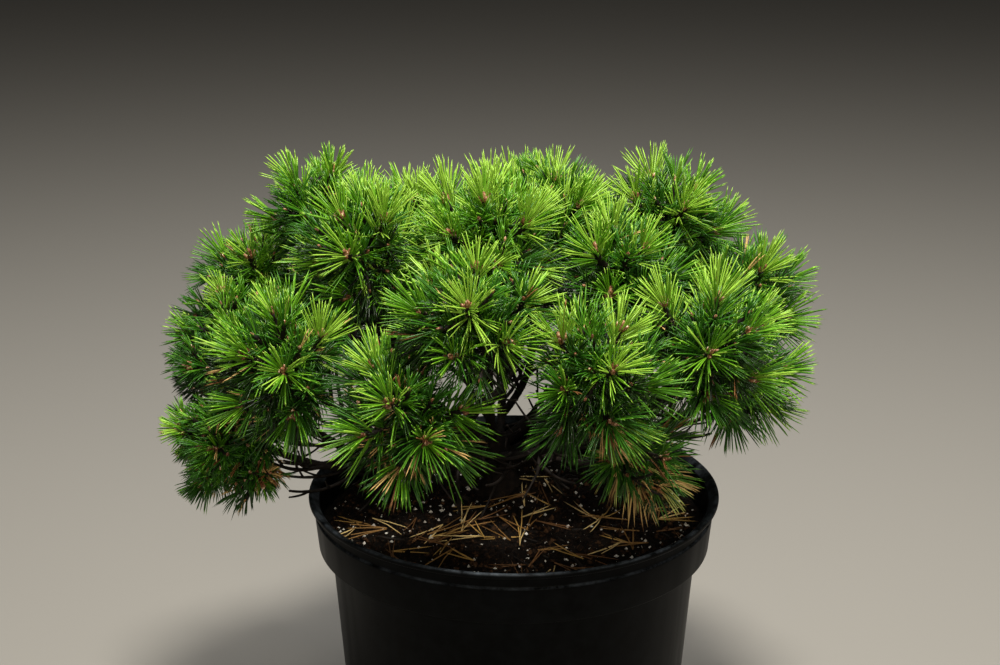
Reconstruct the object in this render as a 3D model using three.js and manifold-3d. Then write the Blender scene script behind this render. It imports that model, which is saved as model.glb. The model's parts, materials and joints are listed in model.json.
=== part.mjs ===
// A dwarf mountain pine in a round nursery pot. Millimetres, +Z up, origin at the middle of the
// pot's flat underside. -Y is the side that faces the viewer and +X is the viewer's right.
import * as THREE from 'three';
import { mergeVertices } from 'three/addons/utils/BufferGeometryUtils.js';
import Module from 'manifold-3d';

const wasm = await Module();
wasm.setup();

// Driving dimensions of the pot
const pot = {
  height: 290,
  lipRadius: 176,
  lipDepth: 5,
  collarRadius: 169.5,
  shoulderDepth: 15,
  bandRadius: 171.3,
  bandFootDepth: 46,
  bandFootRadius: 168.3,
  bodyRadius: 157.8,
  bodyTaper: 0.0733,
  wall: 2.6,
  floor: 3,
  footChamfer: 4,
  edge: 1,
  lipThickness: 3.5,
  sides: 40,
};

// The hairline that every piece keeps to its neighbour, and how far a face may shift as joins are tidied
const gap = 0.3;
const slack = 0.02;

// Potting soil
const soil = { level: 262, flatRadius: 112, edgeDrop: 4 };

// Trunk: a short leaning stem that flares into the soil and forks low
const trunk = {
  footX: -12,
  footY: 48,
  leanX: -7,
  leanY: 6,
  height: 52,
  footRadius: 17,
  forkRadius: 14,
  flare: 7,
  flareFade: 7,
  rootLobes: 4,
  lobeDepth: 0.16,
  sides: 12,
  steps: 6,
};

// Boughs: radius where one leaves its parent, more for each further mass that it carries, and at its
// tip. A bough starts level, sets its tip on a line that climbs into its mass, and ends at the mass's
// foot, as far out from the mass's middle as its space allows.
const bough = {
  rootRadius: 4.1,
  perMass: 1.05,
  tipRadius: 3.3,
  thinning: 0.8,
  sides: 5,
  steps: 5,
  levelShare: 0.46,
  climbShare: 0.34,
  tipLift: 0.25,
  tipClimb: 0.9,
  tipFlatten: 0.6,
  footShare: 0.58,
  footStep: 0.04,
  footRoom: 7,
};

// The stem inside a mass, which its shoots leave
const stem = { rootRadius: 3.1, tipRadius: 2.5, sides: 5, pastMiddle: 0.15 };

// Shoots stand on a mass's outer surface, at least a spacing apart, and lean up and outward
const shoot = {
  spacing: 39,
  cellMargin: 7,
  depthShare: 0.43,
  uneven: 8,
  stir: 0.9,
  rise: 0.5,
  outward: 0.25,
  cover: 1.55,
  tries: 300,
  stalkRadius: 2,
  leaveBefore: 0.5,
  leaveFirst: 0.2,
  leaveLast: 0.9,
};

// Needles stand out of a slim core at the end of each shoot
const needle = {
  shortest: 18,
  least: 37,
  most: 48,
  lean: 0.36,
  sides: 4,
  coreRadius: 6.5,
  coreLength: 25,
  ringLevel: 0.42,
  tipRadius: 0.2,
};

// Room that twigs and needles leave round limbs, to the next mass's space and over the pot and soil
const clear = { limb: 1.8, cell: 0.5, pot: 4, sibling: 1 };
const beadStep = 5;
const walkStep = 3;

// Masses of needles, by bearing round the pot's axis (0 is right, 90 back, 180 left, 270 front),
// reach from that axis, height of the middle, and radius. Each grows on a bough that leaves the
// trunk, or the bough of another mass, at a share of its length.
const masses = [
  { name: 'middle', bearing: 240, reach: 45, height: 515, radius: 79, from: 'trunk', at: 0.96 },
  { name: 'left_low', bearing: 190, reach: 233, height: 352, radius: 65, from: 'trunk', at: 0.42 },
  { name: 'left_front', bearing: 208, reach: 200, height: 428, radius: 77, from: 'trunk', at: 0.66 },
  { name: 'front_left', bearing: 244, reach: 180, height: 421, radius: 75, from: 'trunk', at: 0.5 },
  { name: 'front_right', bearing: 290, reach: 170, height: 443, radius: 75, from: 'trunk', at: 0.62 },
  { name: 'right_low', bearing: 352, reach: 189, height: 401, radius: 62, from: 'trunk', at: 0.5 },
  { name: 'back_right', bearing: 38, reach: 210, height: 402, radius: 76, from: 'trunk', at: 0.62 },
  { name: 'back_low', bearing: 92, reach: 207, height: 410, radius: 78, from: 'trunk', at: 0.5 },
  { name: 'back_left', bearing: 145, reach: 213, height: 404, radius: 77, from: 'trunk', at: 0.62 },
  { name: 'left_peak', bearing: 162, reach: 175, height: 519, radius: 63, from: 'trunk', at: 0.86 },
  { name: 'right_peak', bearing: 26, reach: 144, height: 507, radius: 71, from: 'trunk', at: 0.86 },
  { name: 'far_left', bearing: 176, reach: 229, height: 405, radius: 80, from: 'left_low', at: 0.5 },
  { name: 'left_shoulder', bearing: 163, reach: 232, height: 452, radius: 67, from: 'left_peak', at: 0.55 },
  { name: 'left_crest', bearing: 190, reach: 120, height: 501, radius: 77, from: 'left_peak', at: 0.3 },
  { name: 'front_middle', bearing: 258, reach: 150, height: 478, radius: 79, from: 'front_left', at: 0.45 },
  { name: 'front_hanging', bearing: 310, reach: 146, height: 368, radius: 57, from: 'front_right', at: 0.42 },
  { name: 'right_front', bearing: 325, reach: 178, height: 448, radius: 77, from: 'front_right', at: 0.3 },
  { name: 'far_right', bearing: 14, reach: 196, height: 441, radius: 76, from: 'right_low', at: 0.5 },
  { name: 'right_shoulder', bearing: 30, reach: 179, height: 476, radius: 67, from: 'right_peak', at: 0.5 },
  { name: 'top', bearing: 60, reach: 50, height: 511, radius: 76, from: 'middle', at: 0.4 },
  { name: 'back_top_left', bearing: 130, reach: 125, height: 486, radius: 72, from: 'back_left', at: 0.4 },
  { name: 'back_top_right', bearing: 77, reach: 148, height: 481, radius: 76, from: 'back_low', at: 0.4 },
  { name: 'back_low_left', bearing: 118, reach: 215, height: 389, radius: 75, from: 'back_left', at: 0.5 },
  { name: 'back_low_right', bearing: 63, reach: 215, height: 389, radius: 75, from: 'back_right', at: 0.5 },
  { name: 'right_crest', bearing: 336, reach: 88, height: 482, radius: 75, from: 'right_peak', at: 0.3 },
];

// The heart of the plant, which masses face away from
const heart = new THREE.Vector3(-5, 25, 340);
const up = new THREE.Vector3(0, 0, 1);

const colours = {
  pot: new THREE.MeshStandardMaterial({ color: 0x131416, roughness: 0.42, metalness: 0 }),
  soil: new THREE.MeshStandardMaterial({ color: 0x1c140e, roughness: 0.95, metalness: 0 }),
  bark: new THREE.MeshStandardMaterial({ color: 0x3a2c22, roughness: 0.9, metalness: 0 }),
  needles: new THREE.MeshStandardMaterial({ color: 0x3f7d22, roughness: 0.5, metalness: 0 }),
};

// The same run of numbers from 0 to 1 for the same seed
function seededRandom(seed) {
  let state = seed >>> 0;
  return () => {
    state = (state + 0x6d2b79f5) >>> 0;
    let mixed = Math.imul(state ^ (state >>> 15), 1 | state);
    mixed = (mixed + Math.imul(mixed ^ (mixed >>> 7), 61 | mixed)) ^ mixed;
    return ((mixed ^ (mixed >>> 14)) >>> 0) / 4294967296;
  };
}

function toSolid(geometry) {
  const bare = geometry.clone();
  bare.deleteAttribute('normal');
  bare.deleteAttribute('uv');
  const merged = mergeVertices(bare, 1e-4);
  return new wasm.Manifold(new wasm.Mesh({
    numProp: 3,
    vertProperties: new Float32Array(merged.attributes.position.array),
    triVerts: new Uint32Array(merged.index.array),
  }));
}

function toGeometry(solid) {
  const mesh = solid.getMesh();
  const geometry = new THREE.BufferGeometry();
  geometry.setAttribute('position', new THREE.BufferAttribute(mesh.vertProperties, 3));
  geometry.setIndex(new THREE.BufferAttribute(mesh.triVerts, 1));
  geometry.computeVertexNormals();
  return geometry;
}

// The largest body of a solid: scraps and sealed hollows are left behind
function wholePiece(solid) {
  const bodies = solid.decompose();
  return bodies.reduce((best, body) => (body.volume() > best.volume() ? body : best));
}

// A closed limb along a curve: a unit cylinder bent so that its rings follow the curve. With extra it
// is that much thicker and longer at both ends, to cut other limbs clear of it.
function limbGeometry(curve, radiusAt, sides, steps, extra = 0) {
  const geometry = new THREE.CylinderGeometry(1, 1, 1, sides, steps);
  const frames = curve.computeFrenetFrames(steps);
  const place = geometry.attributes.position;
  for (let i = 0; i < place.count; i += 1) {
    const ring = Math.round((place.getY(i) + 0.5) * steps);
    const angle = Math.atan2(place.getZ(i), place.getX(i));
    const fromAxis = Math.hypot(place.getX(i), place.getZ(i));
    const radius = (radiusAt(ring / steps, angle) + extra) * fromAxis;
    const end = (ring === steps) - (ring === 0);
    const point = curve.getPointAt(ring / steps).addScaledVector(frames.tangents[ring], end * extra);
    point.addScaledVector(frames.normals[ring], radius * Math.cos(angle));
    point.addScaledVector(frames.binormals[ring], -radius * Math.sin(angle));
    place.setXYZ(i, point.x, point.y, point.z);
  }
  return geometry;
}

function potGeometry() {
  const at = (radius, depth) => new THREE.Vector2(radius, pot.height - depth);
  const bodyAt = (depth) => pot.bodyRadius - (depth - pot.bandFootDepth) * pot.bodyTaper;
  const footRadius = bodyAt(pot.height);
  const insideFloor = pot.height - pot.floor;
  const outline = [
    at(0, pot.height),
    at(footRadius - pot.footChamfer, pot.height),
    at(footRadius, pot.height - pot.footChamfer),
    at(pot.bodyRadius, pot.bandFootDepth),
    at(pot.bandFootRadius, pot.bandFootDepth),
    at(pot.bandRadius, pot.shoulderDepth),
    at(pot.collarRadius, pot.shoulderDepth - pot.edge),
    at(pot.collarRadius, pot.lipDepth),
    at(pot.lipRadius, pot.lipDepth - pot.edge),
    at(pot.lipRadius, pot.edge),
    at(pot.lipRadius - pot.edge, 0),
    at(pot.lipRadius - pot.lipThickness, 0),
    at(pot.collarRadius - pot.wall, pot.lipDepth),
    at(pot.collarRadius - pot.wall, pot.shoulderDepth),
    at(pot.bandFootRadius - pot.wall, pot.bandFootDepth - pot.wall),
    at(pot.bodyRadius - pot.wall, pot.bandFootDepth + pot.edge),
    at(bodyAt(insideFloor) - pot.wall, insideFloor),
    at(0, insideFloor),
  ];
  return turnedFrom(outline);
}

// A round piece turned from its outline, with the middle of a side on each axis. A lathe turns
// round Y, so the piece is stood up on Z.
function turnedFrom(outline) {
  const halfSide = Math.PI / pot.sides;
  return new THREE.LatheGeometry(outline, pot.sides, halfSide).rotateX(Math.PI / 2);
}

// The soil fills the pot a hairline clear of its wall, floor and inner step
function soilGeometry() {
  const clearOf = (radius) => radius - pot.wall - 2 * gap;
  const floorTop = pot.floor + gap;
  const stepLevel = pot.height - pot.bandFootDepth;
  const footRadius = clearOf(pot.bodyRadius - (stepLevel - floorTop) * pot.bodyTaper);
  const bandRadius = clearOf(pot.bandFootRadius);
  const outline = [
    new THREE.Vector2(0, floorTop),
    new THREE.Vector2(footRadius, floorTop),
    new THREE.Vector2(clearOf(pot.bodyRadius), stepLevel - pot.edge),
    new THREE.Vector2(clearOf(pot.bodyRadius), stepLevel + pot.wall + gap),
    new THREE.Vector2(bandRadius, stepLevel + 2 * pot.wall),
    new THREE.Vector2(bandRadius, soil.level - soil.edgeDrop),
    new THREE.Vector2(soil.flatRadius, soil.level),
    new THREE.Vector2(0, soil.level),
  ];
  return turnedFrom(outline);
}

function trunkCurve() {
  const foot = new THREE.Vector3(trunk.footX, trunk.footY, soil.level + gap);
  const fork = foot.clone().add(new THREE.Vector3(trunk.leanX, trunk.leanY, trunk.height));
  const straightUp = foot.clone().addScaledVector(up, trunk.height / 2);
  return new THREE.QuadraticBezierCurve3(foot, straightUp, fork);
}

function trunkRadius(share, angle) {
  const fade = Math.exp(-trunk.flareFade * share);
  const plain = THREE.MathUtils.lerp(trunk.footRadius, trunk.forkRadius, share);
  const lobes = 1 + trunk.lobeDepth * fade * Math.cos(trunk.rootLobes * angle);
  return (plain + trunk.flare * fade) * lobes;
}

// The place of each mass and the way it faces, from its row in the table
function settleMass(row, index) {
  const turn = THREE.MathUtils.degToRad(row.bearing);
  const centre = new THREE.Vector3(row.reach * Math.cos(turn), row.reach * Math.sin(turn), row.height);
  const outward = centre.clone().sub(heart).normalize();
  return { ...row, index, centre, outward };
}

// How far a point is inside a mass's ball and off the planes that it shares with other masses
function roomInCell(mass, point, crown) {
  const toSurface = (ball) => point.distanceToSquared(ball.centre) - ball.radius ** 2;
  let room = mass.radius - point.distanceTo(mass.centre);
  for (const other of crown) {
    if (other !== mass) {
      const apart = mass.centre.distanceTo(other.centre);
      room = Math.min(room, (toSurface(other) - toSurface(mass)) / (2 * apart));
    }
  }
  return room;
}

function inPot(point) {
  const radius = Math.hypot(point.x, point.y);
  const overSoil = radius < pot.collarRadius - pot.wall - clear.pot;
  const top = overSoil ? soil.level : pot.height;
  return radius < pot.lipRadius + clear.pot && point.z < top + clear.pot;
}

// The foot of a mass, the way its stem climbs, and the bough that leads there
function settleBough(mass, parentCurve, crown) {
  const start = parentCurve.getPointAt(mass.at);
  const away = mass.centre.clone().sub(start);
  const level = new THREE.Vector3(away.x, away.y, 0).normalize();
  const steep = away.z / away.length();
  mass.stemWay = level.clone().multiplyScalar(1 - steep * bough.tipFlatten);
  mass.stemWay.addScaledVector(up, bough.tipLift + steep * bough.tipClimb).normalize();
  mass.foot = new THREE.Vector3();
  let share = bough.footShare + bough.footStep;
  do {
    share -= bough.footStep;
    mass.foot.copy(mass.centre).addScaledVector(mass.stemWay, -share * mass.radius);
  } while (roomInCell(mass, mass.foot, crown) < bough.footRoom && share > 2 * bough.footStep);
  const tip = mass.foot.clone().addScaledVector(mass.stemWay, -gap);
  const length = tip.distanceTo(start);
  const first = start.clone().addScaledVector(level, bough.levelShare * length);
  first.addScaledVector(up, bough.climbShare * steep * length);
  const last = tip.clone().addScaledVector(mass.stemWay, -bough.climbShare * length);
  return new THREE.CubicBezierCurve3(start, first, last, tip);
}

function carriedBy(name) {
  const children = masses.filter((row) => row.from === name);
  return 1 + children.reduce((sum, row) => sum + carriedBy(row.name), 0);
}

function boughRadius(name) {
  const root = bough.rootRadius + bough.perMass * (carriedBy(name) - 1);
  return (share) => THREE.MathUtils.lerp(root, bough.tipRadius, share ** bough.thinning);
}

// Points along a limb with its radius, for keeping clear of it
function limbBeads(curve, radiusAt) {
  const beads = [];
  const count = Math.ceil(curve.getLength() / beadStep);
  for (let i = 0; i <= count; i += 1) {
    beads.push({ point: curve.getPointAt(i / count), radius: radiusAt(i / count, 0) });
  }
  return beads;
}

// A test of whether a point of some thickness is in a mass's space and off the limbs, soil and pot
function freeSpace(mass, crown, beads) {
  return (point, thickness) => roomInCell(mass, point, crown) > thickness + clear.cell
    && !inPot(point)
    && !beads.some((bead) => bead.point.distanceTo(point) < bead.radius + thickness + clear.limb);
}

// How far a needle can grow before it would leave its space or reach the next shoot's
function freeLength(root, way, wanted, own, siblings, isFree) {
  const point = new THREE.Vector3();
  for (let along = walkStep; along < wanted + walkStep; along += walkStep) {
    const reached = Math.min(along, wanted);
    point.copy(root).addScaledVector(way, reached);
    const ownDistance = point.distanceTo(own.middle) + clear.sibling;
    const crosses = siblings.some((other) => other !== own && other.middle.distanceTo(point) < ownDistance);
    if (crosses || !isFree(point, needle.tipRadius)) {
      return reached - walkStep;
    }
  }
  return wanted;
}

// The faces of a slim core of unit size: a cylinder of few sides, its upper ring turned by half a side
// and the middles of its caps drawn out, so that its faces are alike
function coreFaces(turn) {
  const core = new THREE.CylinderGeometry(1, 1, 1, needle.sides, 1).toNonIndexed();
  const place = core.attributes.position;
  const points = [];
  for (let i = 0; i < place.count; i += 1) {
    const end = Math.sign(place.getY(i));
    const ring = Math.round(Math.hypot(place.getX(i), place.getZ(i)));
    const twist = end > 0 ? Math.PI / needle.sides : 0;
    const angle = Math.atan2(place.getZ(i), place.getX(i)) + turn + twist;
    const level = end * (ring ? needle.ringLevel : 1);
    points.push(new THREE.Vector3(ring * Math.cos(angle), level, ring * Math.sin(angle)));
  }
  return Array.from({ length: points.length / 3 }, (_, face) => points.slice(3 * face, 3 * face + 3));
}

// A shoot: a slim core whose lower end runs down to the stem as a stalk, and whose other faces are
// drawn out to needles
function shootGeometry(own, siblings, isFree, random) {
  const along = new THREE.Vector3(0, 1, 0);
  const stand = new THREE.Quaternion().setFromUnitVectors(along, own.grow);
  const stalkWay = own.middle.clone().sub(own.root).normalize();
  const rootStand = new THREE.Quaternion().setFromUnitVectors(along, stalkWay);
  const size = new THREE.Vector3(needle.coreRadius, needle.coreLength / 2, needle.coreRadius);
  const onCore = (unit) => unit.clone().multiply(size).applyQuaternion(stand).add(own.middle);
  const onRoot = (unit) => new THREE.Vector3(unit.x, 0, unit.z)
    .setLength(shoot.stalkRadius).applyQuaternion(rootStand).add(own.root);

  const corners = [];
  for (const unit of coreFaces(random() * 2 * Math.PI)) {
    const lowest = unit.findIndex((point) => point.y === -1);
    if (lowest >= 0) {
      const left = unit[(lowest + 1) % 3];
      const right = unit[(lowest + 2) % 3];
      corners.push(onCore(left), onCore(right), onRoot(right));
      corners.push(onCore(left), onRoot(right), onRoot(left));
      corners.push(onRoot(left), onRoot(right), own.root);
      continue;
    }
    const way = unit[0].clone().add(unit[1]).add(unit[2]).normalize();
    way.y += needle.lean;
    way.normalize().applyQuaternion(stand);
    const [a, b, c] = unit.map(onCore);
    const base = a.clone().add(b).add(c).divideScalar(3);
    const wanted = THREE.MathUtils.lerp(needle.least, needle.most, random());
    const length = freeLength(base, way, wanted, own, siblings, isFree);
    if (length < needle.shortest) {
      corners.push(a, b, c);
    } else {
      const point = base.addScaledVector(way, length);
      corners.push(a, b, point, b, c, point, c, a, point);
    }
  }
  return new THREE.BufferGeometry().setFromPoints(corners);
}

// One try at a shoot on a mass's surface, with its root on the stem
function proposeShoot(mass, stemLine, face, i, random) {
  const golden = Math.PI * (3 - Math.sqrt(5));
  const height = 1 - (shoot.cover * (i + 0.5)) / shoot.tries;
  const ring = Math.sqrt(1 - height * height);
  const turn = i * golden + shoot.stir * random();
  const way = new THREE.Vector3(ring * Math.cos(turn), ring * Math.sin(turn), height).applyQuaternion(face);
  const depth = mass.radius * (1 - shoot.depthShare) + shoot.uneven * (random() - 0.5);
  const tip = mass.centre.clone().addScaledVector(way, depth);
  const grow = way.addScaledVector(up, shoot.rise).addScaledVector(mass.outward, shoot.outward).normalize();
  const middle = tip.clone().addScaledVector(grow, -needle.coreLength / 2);
  const chord = stemLine.v2.clone().sub(stemLine.v1);
  const along = tip.clone().sub(stemLine.v1).dot(chord) / chord.lengthSq();
  const leave = THREE.MathUtils.clamp(along - shoot.leaveBefore, shoot.leaveFirst, shoot.leaveLast);
  return { tip, grow, middle, root: stemLine.getPoint(leave) };
}

function stalkPoints({ root, middle }) {
  return [0.3, 0.5, 0.7].map((share) => root.clone().lerp(middle, share));
}

function findShoots(mass, stemLine, crown, isFree, taken) {
  const random = seededRandom(97 * (mass.index + 1));
  const face = new THREE.Quaternion().setFromUnitVectors(up, mass.outward);
  const shoots = [];
  for (let i = 0; i < shoot.tries; i += 1) {
    const tried = proposeShoot(mass, stemLine, face, i, random);
    const fits = taken.every((other) => other.distanceTo(tried.tip) > shoot.spacing)
      && roomInCell(mass, tried.tip, crown) > shoot.cellMargin
      && isFree(tried.tip, needle.coreRadius)
      && isFree(tried.middle, needle.coreRadius)
      && stalkPoints(tried).every((point) => isFree(point, shoot.stalkRadius));
    if (fits) {
      taken.push(tried.tip);
      shoots.push(tried);
    }
  }
  return shoots;
}

// A mass of needles: its stem with all its shoots, fused to one piece
function growMass(mass, crown, beads, taken) {
  const isFree = freeSpace(mass, crown, beads);
  const stemEnd = mass.centre.clone().addScaledVector(mass.stemWay, stem.pastMiddle * mass.radius);
  const stemLine = new THREE.LineCurve3(mass.foot, stemEnd);
  const stemRadius = (share) => THREE.MathUtils.lerp(stem.rootRadius, stem.tipRadius, share);
  const shoots = findShoots(mass, stemLine, crown, isFree, taken);
  const random = seededRandom(131 * (mass.index + 1));
  const pieces = [toSolid(limbGeometry(stemLine, stemRadius, stem.sides, 1))];
  for (const own of shoots) {
    pieces.push(toSolid(shootGeometry(own, shoots, isFree, random)));
  }
  return wholePiece(wasm.Manifold.union(pieces).simplify(slack));
}

function addMesh(group, name, solid, material) {
  const mesh = new THREE.Mesh(toGeometry(solid), material);
  mesh.name = name;
  group.add(mesh);
}

// The trunk and the boughs, each cut clear of those before it, with the beads of them all
function growLimbs(plant, crown) {
  const line = trunkCurve();
  const curves = { trunk: line };
  const beads = limbBeads(line, trunkRadius);
  addMesh(plant, 'trunk', toSolid(limbGeometry(line, trunkRadius, trunk.sides, trunk.steps)), colours.bark);
  let taken = toSolid(limbGeometry(line, trunkRadius, trunk.sides, trunk.steps, gap));
  for (const mass of crown) {
    const curve = settleBough(mass, curves[mass.from], crown);
    const radiusAt = boughRadius(mass.name);
    const whole = toSolid(limbGeometry(curve, radiusAt, bough.sides, bough.steps));
    addMesh(plant, `bough_${mass.name}`, wholePiece(whole.subtract(taken).simplify(slack)), colours.bark);
    taken = taken.add(toSolid(limbGeometry(curve, radiusAt, bough.sides, bough.steps, gap)));
    curves[mass.name] = curve;
    beads.push(...limbBeads(curve, radiusAt));
  }
  return beads;
}

function buildPlant() {
  const plant = new THREE.Group();
  addMesh(plant, 'pot', toSolid(potGeometry()), colours.pot);
  addMesh(plant, 'potting_soil', toSolid(soilGeometry()), colours.soil);

  const crown = masses.map(settleMass);
  const beads = growLimbs(plant, crown);
  const tips = [];
  for (const mass of crown) {
    addMesh(plant, `needles_${mass.name}`, growMass(mass, crown, beads, tips), colours.needles);
  }
  return plant;
}

export default buildPlant();
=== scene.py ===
# A dwarf mountain pine in a round nursery pot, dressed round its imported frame. The limbs and shoots
# grow by the rule that the solids follow, and go on to finer twigs, needles and buds.
# Lengths are millimetres, as in the solids, and MM turns them to metres as each mesh is made.
import json
import math
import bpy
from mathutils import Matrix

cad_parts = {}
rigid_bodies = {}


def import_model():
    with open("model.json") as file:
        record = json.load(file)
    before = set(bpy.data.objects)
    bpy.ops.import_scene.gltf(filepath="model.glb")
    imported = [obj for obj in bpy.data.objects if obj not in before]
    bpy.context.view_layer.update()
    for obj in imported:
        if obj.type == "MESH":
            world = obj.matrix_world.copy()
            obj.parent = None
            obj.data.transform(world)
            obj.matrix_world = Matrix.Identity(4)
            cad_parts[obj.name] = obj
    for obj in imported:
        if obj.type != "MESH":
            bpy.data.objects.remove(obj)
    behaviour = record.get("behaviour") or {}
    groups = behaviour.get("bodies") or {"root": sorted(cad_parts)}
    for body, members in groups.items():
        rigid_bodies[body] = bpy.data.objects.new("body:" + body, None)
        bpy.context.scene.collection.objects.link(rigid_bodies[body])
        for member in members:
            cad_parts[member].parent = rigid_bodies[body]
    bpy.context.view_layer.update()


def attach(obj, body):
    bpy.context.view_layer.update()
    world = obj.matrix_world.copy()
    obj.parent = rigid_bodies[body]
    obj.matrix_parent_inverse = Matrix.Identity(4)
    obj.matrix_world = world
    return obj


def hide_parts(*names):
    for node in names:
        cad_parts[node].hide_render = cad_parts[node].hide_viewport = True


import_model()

from types import SimpleNamespace as Sizes

import bpy
import numpy as np
from mathutils import Vector, noise
from mathutils.kdtree import KDTree

MM = 0.001
UP = np.array([0.0, 0.0, 1.0])
SIDEWAYS = np.array([1.0, 0.0, 0.0])
FULL_TURN = 2 * math.pi
GOLDEN = math.pi * (3 - math.sqrt(5))

# Sizes that the solids share
pot = Sizes(
    height=290, lip_radius=176, lip_depth=5, collar_radius=169.5, shoulder_depth=15,
    band_radius=171.3, band_foot_depth=46, band_foot_radius=168.3, body_radius=157.8,
    body_taper=0.0733, wall=2.6, floor=3, foot_chamfer=4, edge=1, lip_thickness=3.5,
)
GAP = 0.3
soil = Sizes(level=262, flat_radius=112, edge_drop=4)
trunk = Sizes(
    foot_x=-12, foot_y=48, lean_x=-7, lean_y=6, height=52, foot_radius=17, fork_radius=14,
    flare=7, flare_fade=7, root_lobes=4, lobe_depth=0.16,
)
bough = Sizes(
    root_radius=4.1, per_mass=1.05, tip_radius=3.3, thinning=0.8, level_share=0.46, climb_share=0.34,
    tip_lift=0.25, tip_climb=0.9, tip_flatten=0.6, foot_share=0.58, foot_step=0.04, foot_room=7,
)
stem = Sizes(tip_radius=2.5, past_middle=0.15)
shoot = Sizes(
    spacing=39, cell_margin=7, depth_share=0.43, uneven=8, stir=0.9, rise=0.5, outward=0.25, cover=1.55,
    tries=300, seed=97, stalk_radius=2, stalk_tests=(0.3, 0.5, 0.7), leave_before=0.5, leave_first=0.2,
    leave_last=0.9, core_radius=6.5, core_length=25,
)
clear = Sizes(limb=1.8, cell=0.5, pot=4)
BEAD_STEP = 5
HEART = np.array([-5.0, 25.0, 340.0])

# Masses of needles: name, bearing round the pot's axis (0 is right, 90 back), reach from that axis,
# height, radius, and the limb that each grows from with the share of its length
MASSES = [
    ("middle", 240, 45, 515, 79, "trunk", 0.96),
    ("left_low", 190, 233, 352, 65, "trunk", 0.42),
    ("left_front", 208, 200, 428, 77, "trunk", 0.66),
    ("front_left", 244, 180, 421, 75, "trunk", 0.5),
    ("front_right", 290, 170, 443, 75, "trunk", 0.62),
    ("right_low", 352, 189, 401, 62, "trunk", 0.5),
    ("back_right", 38, 210, 402, 76, "trunk", 0.62),
    ("back_low", 92, 207, 410, 78, "trunk", 0.5),
    ("back_left", 145, 213, 404, 77, "trunk", 0.62),
    ("left_peak", 162, 175, 519, 63, "trunk", 0.86),
    ("right_peak", 26, 144, 507, 71, "trunk", 0.86),
    ("far_left", 176, 229, 405, 80, "left_low", 0.5),
    ("left_shoulder", 163, 232, 452, 67, "left_peak", 0.55),
    ("left_crest", 190, 120, 501, 77, "left_peak", 0.3),
    ("front_middle", 258, 150, 478, 79, "front_left", 0.45),
    ("front_hanging", 310, 146, 368, 57, "front_right", 0.42),
    ("right_front", 325, 178, 448, 77, "front_right", 0.3),
    ("far_right", 14, 196, 441, 76, "right_low", 0.5),
    ("right_shoulder", 30, 179, 476, 67, "right_peak", 0.5),
    ("top", 60, 50, 511, 76, "middle", 0.4),
    ("back_top_left", 130, 125, 486, 72, "back_left", 0.4),
    ("back_top_right", 77, 148, 481, 76, "back_low", 0.4),
    ("back_low_left", 118, 215, 389, 75, "back_left", 0.5),
    ("back_low_right", 63, 215, 389, 75, "back_right", 0.5),
    ("right_crest", 336, 88, 482, 75, "right_peak", 0.3),
]

# Masses whose needles are shorter, in more and smaller sprays, by the share of the usual length
FINER = {"left_low": 0.66, "far_left": 0.74, "left_shoulder": 0.86}

# Finer twigs: side shoots that leave a shoot's stalk, closer together and deeper than the first ones
# shade and fine_shade make the side shoots' needles darker: painted shade
side = Sizes(
    per_shoot=16, seed=193, first=0.1, last=0.9, shortest=16, longest=44, spacing=15.5, open_least=35,
    open_most=75, rise=0.3, room=4, above=5, shade=0.27, fine_shade=0.1,
)
twig = Sizes(
    root_radius=2.9, tip_radius=2.6, side_root_radius=2.3, side_tip_radius=1.9, sides=7, side_sides=5,
    step=3.2, side_step=4.4, least_steps=4, rough=(-0.09, 0.12), root_pull=0.35, tip_pull=0.45,
)

# Bark: rows of scales that lean to the limb's tip, on a limb a little thinner than its solid
bark = Sizes(
    least_lift=0.35, row_wave=0.15, lean_power=1.6, thinner=0.94, swell=0.07, swell_size=0.06, sunk=0.25,
    least_steps=8, least_columns=5,
)
trunk_bark = Sizes(sides=72, step=1.1, row_step=7, width=7.5, depth=1.7)
bough_bark = Sizes(sides=16, step=1.6, row_step=3.4, width=3.6, depth=1.0)

# Pegs that dropped needles leave on twigs and boughs
stub = Sizes(
    length=2.6, side_length=2.2, uneven=(0.7, 1.3), half_width=0.8, behind=0.7, sunk=0.7, lean=0.9,
    per_shoot=26, per_side_shoot=6, apart=3.2, first=0.1, last=0.96, side_last=0.9, bough_last=0.98,
)

# Needles grow in pairs round the last stretch of a shoot, close together at its tip. Further down they
# open wider, and low in the crown they droop.
needle = Sizes(
    width=1.36, thickness=0.92, longest=40, shortest=31, least=11, tip_open=18, low_open=84,
    open_over=38, open_power=0.68, open_stir=5, turn_stir=0.3, root_out=1.2, pair_spread=0.07,
    incurve=0.12, incurve_range=(0.2, 1.4), sag=0.05, droop=0.2, droop_below=410, droop_over=90,
    old_length=0.84, twin_length=(0.93, 1.03), twin_width=(0.85, 1.12), twin_bend=0.02, least_share=0.02,
)

# What a twig's way is crossed with, to give the side that the turns of its pairs start from
ASKEW = np.array([0.31, 0.95, 0.1])
# old_shade makes the old needles down a shoot's stalk darker: painted shade
spray = Sizes(
    pairs=52, length=44, gather=1.5, vigour=(0.78, 1.1), fullness=(0.85, 1.12), side_pairs=20,
    side_length=28, side_vigour=(0.52, 0.95), side_fullness=(0.8, 1.2), old_pairs=15, old_first=0.8,
    old_last=0.95, old_shade=0.42, old_vigour=0.8, old_open=100,
)

# Sections of a needle, as shares of its length and width. A fine needle is one green lighter past its
# last one, for its pale point and a painted highlight.
FINE_RINGS = ((0, 0.7), (0.5, 1.0), (0.88, 0.75))
PLAIN_RINGS = ((0, 0.8), (0.72, 0.95))
FALLEN_RINGS = ((0, 0.8), (0.45, 1), (0.88, 0.7))
NEEDLE_SECTION = ((-0.5, -0.3), (0.5, -0.3), (0.0, 0.7))

# A needle that reaches into the pot or soil at a share of its length is cut to a share of that length
POT_CUTS = ((1.0, 0.75), (0.75, 0.5), (0.5, 0.0))

# Shares of a needle's length where it is tested against the limbs
LIMB_TESTS = (0.4, 0.8)

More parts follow.
